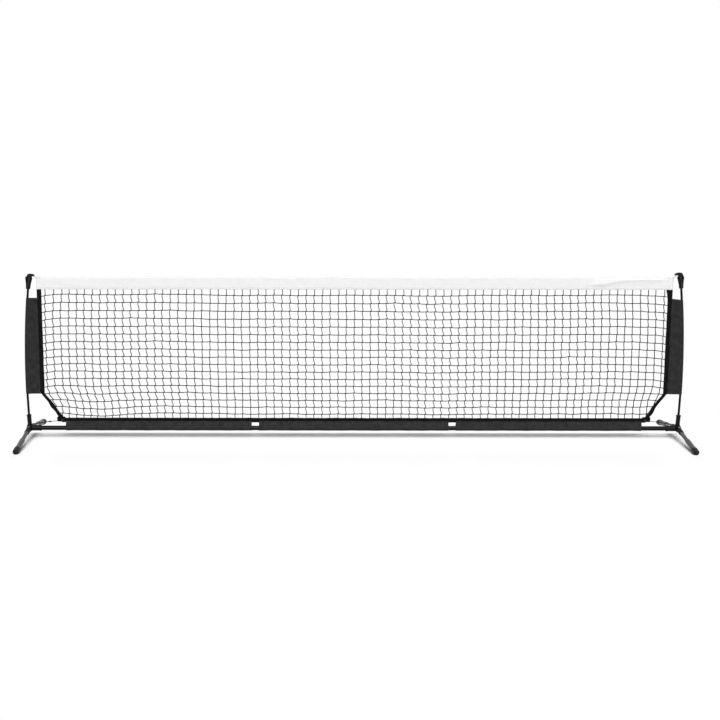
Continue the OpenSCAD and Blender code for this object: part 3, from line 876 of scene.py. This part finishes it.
def make_bindings():
    inner = binding_outline((-BINDING_LAP, -BINDING_LAP, -BINDING_LAP))
    outer = binding_outline((BINDING_W, CORNER_BINDING_W, BINDING_W))
    for name, side in SIDES.items():
        flip = (side, 1)
        make_binding(
            f"side_binding_{name}", inner[:2] * flip, outer[:2] * flip, 41 + side, flare=SIDE_FLARE[name]
        )
        make_binding(
            f"corner_binding_{name}",
            inner[:0:-1] * flip,
            outer[:0:-1] * flip,
            45 + side,
            bulge=CORNER_BULGE[name],
            flare=CORNER_FLARE[name],
            bow=CORNER_BOW[name],
        )
    flip = (-1, 1)
    make_binding("bottom_binding", [inner[2] * flip, inner[2]], [outer[2] * flip, outer[2]], 43)


# ---- Sleeves ----


def teardrop(reach, r, seam_half, leaf_steps, round_steps):
    """Section of cloth held round a rod at the origin and sewn shut at (-reach, 0).

    Returns points (x, y) from the seam along the back leaf, round the rod and back, and how far
    each lies along its leaf from the seam, which is 1 on the rod.
    """
    tilt = math.asin((r - seam_half) / reach)
    tangent = np.array([-r * math.sin(tilt), r * math.cos(tilt)])
    start = np.array([-reach, seam_half])
    share = np.linspace(0, 1, leaf_steps, endpoint=False)
    back = start + (tangent - start) * share[:, None]
    turn = np.linspace(math.pi / 2 + tilt, -math.pi / 2 - tilt, round_steps)
    over = r * stacked(np.cos(turn), np.sin(turn))
    front = back[::-1] * (1, -1)
    points = np.concatenate([back, over, front])
    along = np.concatenate([share, np.ones(round_steps), share[::-1]])
    return points, along


SLEEVE_T = 0.0007
SEAM_LAP = 0.01
SEAM_HALF = 0.0012
SLEEVE_GAP = 0.0014
END_HEM = 0.013
HEM_PROUD = 0.0006
SLEEVE_DROP = {-1: 0.0, 1: 0.008}


def sleeve_y(section, relief, near_end):
    """The section's y with its waves, and with the turned hem where an end is near."""
    hem = HEM_PROUD * float(smooth((END_HEM - near_end) / 0.0015))
    return section[:, 1] + np.sign(section[:, 1]) * (relief + hem)


def sew_sleeve(kind, name, rows, around, along, leaf_steps, hem_row, rests_on):
    """A sleeve from its sections, with a row of stitches along both leaves of both end hems."""
    points = np.array(rows)
    cloth = Shape()
    cloth.grid(points, around, along[:, None])
    seams = []
    for index in (hem_row, -1 - hem_row):
        for leaf in (slice(1, leaf_steps), slice(1 - leaf_steps, -1)):
            seam = points[index, leaf].copy()
            seam[:, 1] += np.sign(seam[:, 1]) * HEM_PROUD
            seams.append(seam)
    flat = (float(around[-1]), float(along[-1] - along[0]))
    facts = {"flat": flat, "held": "stretched", "rests_on": rests_on}
    piece, node = f"{kind}_cloth_{name}", f"{kind}_{name}"
    sewn_sheet(cloth, piece, "black_nylon", node, SLEEVE_T, seams, **facts)


def make_side_sleeve(name, side):
    """Fabric from the side binding round the post and back, pulled taut, with a hem at both ends."""
    heights = np.linspace(CORNER_TOP, SLEEVE_TOP, 150)
    leaf_steps = 16
    seed = 70 + side
    rows = []
    for z in heights:
        reach = post_x(z) - TAPE_HALF + SEAM_LAP
        section, along = teardrop(reach, POST_R + SLEEVE_GAP, SEAM_HALF, leaf_steps, 20)
        high = SLEEVE_TOP - z
        wave = 0.0011 * ripple(z + 0.35 * along * reach, (0.19, 0.083, 0.041), seed)
        wave += 0.0008 * ripple(z - 0.6 * along * reach, (0.13, 0.057), seed + 5)
        y = sleeve_y(section, np.sin(np.pi * along) ** 0.8 * wave, min(z - CORNER_TOP, high))
        drop = SLEEVE_DROP[side] * float(smooth(1 - high / 0.12)) * along
        rows.append(stacked(side * (post_x(z) + section[:, 0]), y, z - drop))
    around = walked(rows[len(rows) // 2][:, :2])
    rests_on = [f"post_{name}", f"side_webbing_{name}"]
    sew_sleeve("side_sleeve", name, rows, around, heights, leaf_steps, 4, rests_on)


def make_bottom_sleeve(name, low_x, high_x, seed):
    """Fabric from the bottom binding round the bar and back, with a hem at both ends."""
    stations = np.linspace(low_x, high_x, int((high_x - low_x) / 0.006) + 1)
    leaf_steps = 10
    seam_z = MESH_BOTTOM - BINDING_W + SEAM_LAP
    section, along = teardrop(seam_z - BAR_Z, BAR_R + SLEEVE_GAP, SEAM_HALF, leaf_steps, 22)
    rows = []
    for x in stations:
        wave = 0.0009 * ripple(x + 0.4 * along * 0.03, (0.16, 0.071, 0.037), seed)
        y = sleeve_y(section, np.sin(np.pi * along) * wave, min(x - low_x, high_x - x))
        under = 0.0006 * float(ripple(x, (0.23, 0.09), seed + 3)) * (section[:, 0] > 0.004)
        rows.append(stacked(x, y, BAR_Z - section[:, 0] - under))
    around = walked(section)
    sew_sleeve("bottom_sleeve", name, rows, around, stations, leaf_steps, 2, [f"base_tube_{name}"])


def make_sleeves():
    for name, side in SIDES.items():
        make_side_sleeve(name, side)
    for seed, name in enumerate(("left", "middle", "right")):
        low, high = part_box(f"bottom_sleeve_{name}")
        make_bottom_sleeve(name, low.x, high.x, 80 + seed)


# ---- Tip pockets ----

PLEATS = 11
POCKET_T = 0.0008
FLAP_HALF_W = 0.0118
FLAP_ROLL = 0.0042
# Height and radius of the pocket from its turned-in mouth to its closed top.
POCKET_PROFILE = [
    (0.0, 0.0090), (0.0, 0.0112), (0.006, 0.0114), (0.016, 0.0117), (0.028, 0.0125),
    (0.040, 0.0138), (0.050, 0.0152), (0.058, 0.0163), (0.0625, 0.0162), (0.066, 0.0144),
    (0.0685, 0.0105), (0.0695, 0.0045), (0.0697, 0.0006),
]
# Outline of each flap as the photo shows it, in the pocket's own x and z.
FLAP_OUTLINES = {
    "left": [
        (0.010, 0.064), (0.010, 0.077), (0.003, 0.0835), (-0.008, 0.085), (-0.022, 0.084),
        (-0.030, 0.0805), (-0.031, 0.0735), (-0.020, 0.0725), (-0.011, 0.064),
    ],
    "right": [
        (0.0125, 0.062), (0.0135, 0.075), (0.008, 0.0845), (-0.004, 0.0880), (-0.018, 0.0872),
        (-0.029, 0.0840), (-0.035, 0.0775), (-0.0300, 0.0750), (-0.020, 0.0775), (-0.010, 0.066),
    ],
}


def make_tip_pocket(name, side):
    """A gathered nylon pocket over the post's tip, with a flap that droops towards the tape."""
    turn = np.linspace(0, 2 * np.pi, 96, endpoint=False)
    rows = []
    for z, r in POCKET_PROFILE:
        gather = 0.0005 + 0.0017 * smooth(z / POCKET_LEN) if r > 0.009 else 0.0002
        pleat = np.cos(PLEATS * turn + 2.0 * z / POCKET_LEN + side)
        pleat = np.sign(pleat) * np.abs(pleat) ** 0.7 + 0.4 * np.cos(5 * turn + 1 + 2 * side)
        radius = r + gather * pleat
        rows.append(from_pocket(side, radius * np.cos(turn), radius * np.sin(turn), z))
    lengths = walked(np.array([(r, z) for z, r in POCKET_PROFILE]))
    cloth = Shape()
    cloth.grid(closed_rings(rows), np.append(turn, 2 * np.pi) * 0.014, lengths[:, None])
    node = f"tip_pocket_{name}"
    piece = f"tip_pocket_cloth_{name}"
    pocket = cloth.make(piece, "gathered_nylon", "black_pocket", [node], thickness=POCKET_T, weld=True)
    flap = make_tip_flap(name, side)


def rounded_outline(corners, count):
    """A closed outline with its corners cut twice, spread over count points."""
    points = np.array(corners)
    for _ in range(2):
        ahead = np.roll(points, -1, axis=0)
        points = np.stack([0.75 * points + 0.25 * ahead, 0.25 * points + 0.75 * ahead], axis=1)
        points = points.reshape(-1, 2)
    closed = np.concatenate([points, points[:1]])
    return along_row(closed, np.linspace(0, walked(closed)[-1], count, endpoint=False))


def make_tip_flap(name, side):
    """The flap: cloth rolled over the tip into a thick soft lip, which sits on the pocket's top."""
    count = 56
    outline = rounded_outline(FLAP_OUTLINES[name], count)
    way = np.roll(outline, -1, axis=0) - np.roll(outline, 1, axis=0)
    normal = stacked(-way[:, 1], way[:, 0]) / np.linalg.norm(way, axis=1)[:, None]
    centre = outline.mean(axis=0)
    if ((outline - centre) * normal).sum() > 0:
        normal = -normal
    index = np.arange(count)
    rows = []
    for angle in np.radians(np.linspace(-90, 90, 21)):
        inset = FLAP_ROLL * (1 - math.cos(angle))
        crumple = 0.0005 * np.cos(5 * angle + 0.35 * index) + 0.0004 * np.cos(9 * angle - 0.5 * index)
        edge = outline + normal * (inset + crumple)[:, None]
        y = FLAP_HALF_W * math.sin(angle) + 0.0005 * np.cos(0.9 * index)
        rows.append(from_pocket(side, edge[:, 0], y, edge[:, 1]))
    first, last = rows[0], rows[-1]
    for share in (0.35, 0.7, 0.97):
        rows.insert(0, first + (first.mean(axis=0) - first) * share)
        rows.append(last + (last.mean(axis=0) - last) * share)
    around = np.append(index, count) * 0.0022
    across = np.linspace(0, 0.04, len(rows))
    cloth = Shape()
    cloth.grid(closed_rings(rows), around, across[:, None])
    return cloth.make(f"tip_flap_{name}", "gathered_nylon", "black_pocket", weld=True)


# ---- Lower corners ----

PATCH_T = 0.0012
CORD_R = 0.0015
LOOP_TILT = 0.0035
CRIMP_HALF = 0.006
KNOT_R = 0.0042
PATCH_HOLE_R = 0.0042
PATCH_SQUARED = 0.22


def make_corner(name, side):
    """The sewn patch, and the cord that runs from its grommet to the loop round the post socket."""
    grommet_low, grommet_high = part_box(f"corner_grommet_{name}")
    middle = (grommet_low + grommet_high) / 2
    crimp_low, crimp_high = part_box(f"cord_crimp_{name}")
    crimp = np.array((crimp_low + crimp_high) / 2)
    front = np.array([middle.x, grommet_low.y - CORD_R - 0.0006, middle.z])
    way = (front - crimp) / np.linalg.norm(front - crimp)
    make_patch(name, middle)
    make_corner_loop(name, side, crimp - way * CRIMP_HALF)
    make_corner_tail(name, side, crimp + way * CRIMP_HALF, front, grommet_high.y)


def make_patch(name, grommet):
    """A webbing patch with rounded corners, a turned edge and a box of stitches, open at the grommet."""
    low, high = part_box(f"corner_patch_{name}")
    turn = np.linspace(0, 2 * np.pi, 64, endpoint=False)
    round_it = stacked(np.cos(turn), np.sin(turn))
    edge = np.sign(round_it) * np.abs(round_it) ** PATCH_SQUARED
    half = np.array([(high.x - low.x) / 2, (high.z - low.z) / 2])
    centre = np.array([(high.x + low.x) / 2, (high.z + low.z) / 2])
    hole = np.array([grommet.x, grommet.z])
    angles = np.arctan2(*(centre + edge * half - hole).T[::-1])
    ring = hole + PATCH_HOLE_R * stacked(np.cos(angles), np.sin(angles))
    rows = []
    steps = ((0.0, 0.0), (0.25, 0.0003), (0.6, 0.0002), (0.85, 0.0003), (0.93, 0.0008), (1.0, 0.0002))
    for t, proud in steps:
        flat = ring + (centre + edge * half - ring) * t
        rows.append(stacked(flat[:, 0], low.y + 0.0008 - proud, flat[:, 1]))
    rings = closed_rings(rows)
    cloth = Shape()
    cloth.grid(rings, rings[:, :, 0], rings[:, :, 2])
    corners = ((-1, -1), (1, -1), (1, 1), (-1, 1), (-1, -1))
    box = [centre + half * 0.86 * corner for corner in corners]
    y = low.y - 0.0004
    seams = [[(p[0], y, p[1]), (q[0], y, q[1])] for p, q in zip(box, box[1:])]
    size = (float(2 * half[0]), float(2 * half[1]))
    facts = {"flat": size, "held": "stretched", "rests_on": ["bottom_webbing", f"corner_webbing_{name}"]}
    piece, node = f"corner_patch_cloth_{name}", f"corner_patch_{name}"
    sewn_sheet(cloth, piece, "black_webbing", node, PATCH_T, seams, **facts)


def make_corner_loop(name, side, crimp_end):
    """The cord's loop: from the crimp round the post socket, a little higher in front, and back."""
    low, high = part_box(f"corner_cord_{name}")
    loop_z = low.z + CORD_R + 0.00015
    loop_x = side * post_x(loop_z)
    loop_r = high.y - CORD_R - 0.00015
    front = np.array([loop_x, -loop_r, loop_z + LOOP_TILT])
    back = np.array([loop_x, loop_r, loop_z])
    front_crimp = crimp_end - (0, CORD_R + 0.0002, 0)
    back_crimp = crimp_end + (0, CORD_R + 0.0002, 0)
    path = [front_crimp + (front - front_crimp) * t for t in np.linspace(0, 0.96, 14)]
    for a in np.linspace(-np.pi / 2, np.pi / 2, 28):
        z = loop_z + LOOP_TILT * (1 - math.sin(a)) / 2
        path.append(np.array([loop_x + side * loop_r * math.cos(a), loop_r * math.sin(a), z]))
    path += [back + (back_crimp - back) * t for t in np.linspace(0.04, 1, 14)]
    loop = Shape()
    loop.tube(softened(path, 2), CORD_R, sides=10)
    loop.make(f"corner_loop_{name}", "black_cord", replaces=[f"corner_cord_{name}"])


def make_corner_tail(name, side, crimp_end, front, grommet_back):
    """The cord's single strand from the crimp through the grommet, and the knot behind the net."""
    path = [crimp_end + (front - crimp_end) * t for t in np.linspace(0, 0.96, 16)]
    path += [front, front + (0, 0.0015, 0)]
    through = np.linspace(front[1] + 0.003, grommet_back + 0.003, 6)
    path += [np.array([front[0], y, front[2]]) for y in through]
    tail = Shape()
    tail.tube(softened(path, 1), CORD_R, sides=10)
    knot = np.array([front[0], grommet_back + KNOT_R, front[2]])
    wind = np.linspace(0, 2 * np.pi, 90)
    coil_r = 0.0019 + 0.0007 * np.cos(3 * wind)
    coil = stacked(coil_r * np.cos(2 * wind), 0.0012 * np.sin(3 * wind), coil_r * np.sin(2 * wind))
    tail.tube(knot + coil, CORD_R, sides=8)
    drops = ((-0.002, 0.001, -0.001), (-0.0035, 0.0015, -0.004), (-0.0038, 0.0015, -0.0075))
    tail.tube([knot + (side * x, y, z) for x, y, z in drops], CORD_R, sides=8)
    tail.make(f"corner_tail_{name}", "black_cord")


# ---- Stage ----

CAMERA_PLACE = (-0.249, -7.0, 1.664)
CAMERA_PITCH = 9.84
CAMERA_ROLL_RAD = 0.00104
FOCAL_PX = 1276.8
PRINCIPAL_PX = 309.4
FRAME_PX = 720


def make_camera():
    camera = bpy.data.cameras.new("camera")
    camera.sensor_width = 36.0
    camera.lens = FOCAL_PX / FRAME_PX * camera.sensor_width
    camera.shift_x = (FRAME_PX / 2 - PRINCIPAL_PX) / FRAME_PX
    camera.clip_end = 100
    seat = add_object("camera", camera)
    pitch = Euler((math.radians(90 - CAMERA_PITCH), 0, 0)).to_matrix()
    turn = pitch @ Matrix.Rotation(CAMERA_ROLL_RAD, 3, "Z")
    seat.matrix_world = Matrix.Translation(CAMERA_PLACE) @ turn.to_4x4()
    bpy.context.scene.camera = seat


KEY_STRENGTH = 2.28
HIGH_STRENGTH = 0.87
FILL_STRENGTH = 0.5
BACK_STRENGTH = 1.9
WORLD_STRENGTH = 0.03
FLOOR_ALBEDO = 0.4
FLOOR_SEEN = 1.325
FLOOR_FADE = (0.13, 0.16)
FLOOR_REACH = 30.0


def make_sun(name, elevation, strength, softness, glints=True):
    """A soft even light at an elevation in degrees: from the front, or past 90 from behind."""
    lamp = bpy.data.lights.new(name, "SUN")
    lamp.energy = strength
    lamp.angle = math.radians(softness)
    holder = add_object(name, lamp)
    holder.rotation_euler = (math.radians(90 - elevation), 0, 0)
    holder.visible_glossy = glints


def make_world():
    """A dim room, which the camera and the reflections see as plain white."""
    world = bpy.data.worlds.new("studio")
    bpy.context.scene.world = world
    world.use_nodes = True
    n = Nodes(world.node_tree)
    n.tree.nodes.clear()
    light = n.node("Background", Color=(1, 1, 1, 1), Strength=WORLD_STRENGTH)
    white = n.node("Background", Color=(1, 1, 1, 1), Strength=1.0)
    output = n.node("OutputWorld")
    n.link(n.mix(n.seen(), light, white), output.inputs["Surface"])


def floor_material():
    """Pale and matt. Behind the shadows near the base bar it fades into the white background."""
    material = bpy.data.materials.new("floor")
    material.use_nodes = True
    n = Nodes(material.node_tree)
    n.tree.nodes.clear()
    seen = n.seen()
    near = n.node("BsdfDiffuse")
    n.link(n.ranged(seen, (0, 1), (FLOOR_ALBEDO, FLOOR_SEEN)), near.inputs["Color"])
    far = n.node("Emission")
    parts = n.node("SeparateXYZ")
    n.link(n.place(), parts.inputs[0])
    fade = n.ranged(parts.outputs["Y"], FLOOR_FADE, (0, 1), interpolation_type="SMOOTHSTEP")
    output = n.node("OutputMaterial")
    n.link(n.mix(n.math("MULTIPLY", fade, seen), near, far), output.inputs["Surface"])
    return material


def make_floor():
    mesh = bpy.data.meshes.new("floor")
    corners = [(-1, -1), (1, -1), (1, 1), (-1, 1)]
    mesh.from_pydata([(FLOOR_REACH * x, FLOOR_REACH * y, 0) for x, y in corners], [], [(0, 1, 2, 3)])
    mesh.materials.append(floor_material())
    add_object("floor", mesh)


# ---- Build ----

make_camera()
make_world()
make_floor()
make_sun("key", 36, KEY_STRENGTH, 28)
make_sun("high", 58, HIGH_STRENGTH, 44)
make_sun("fill", 8, FILL_STRENGTH, 30)
make_sun("back", 174, BACK_STRENGTH, 20, glints=False)
finish_cad_nodes()
make_net()
make_tape()
make_head_cord()
make_bindings()
make_sleeves()
for side_name, side_sign in SIDES.items():
    make_tip_pocket(side_name, side_sign)
    make_corner(side_name, side_sign)
    make_leaf_spring("joint", side_name, side_sign)
    make_leaf_spring("hub", side_name, side_sign)

bpy.context.scene.view_settings.view_transform = "Standard"
bpy.context.view_layer.update()
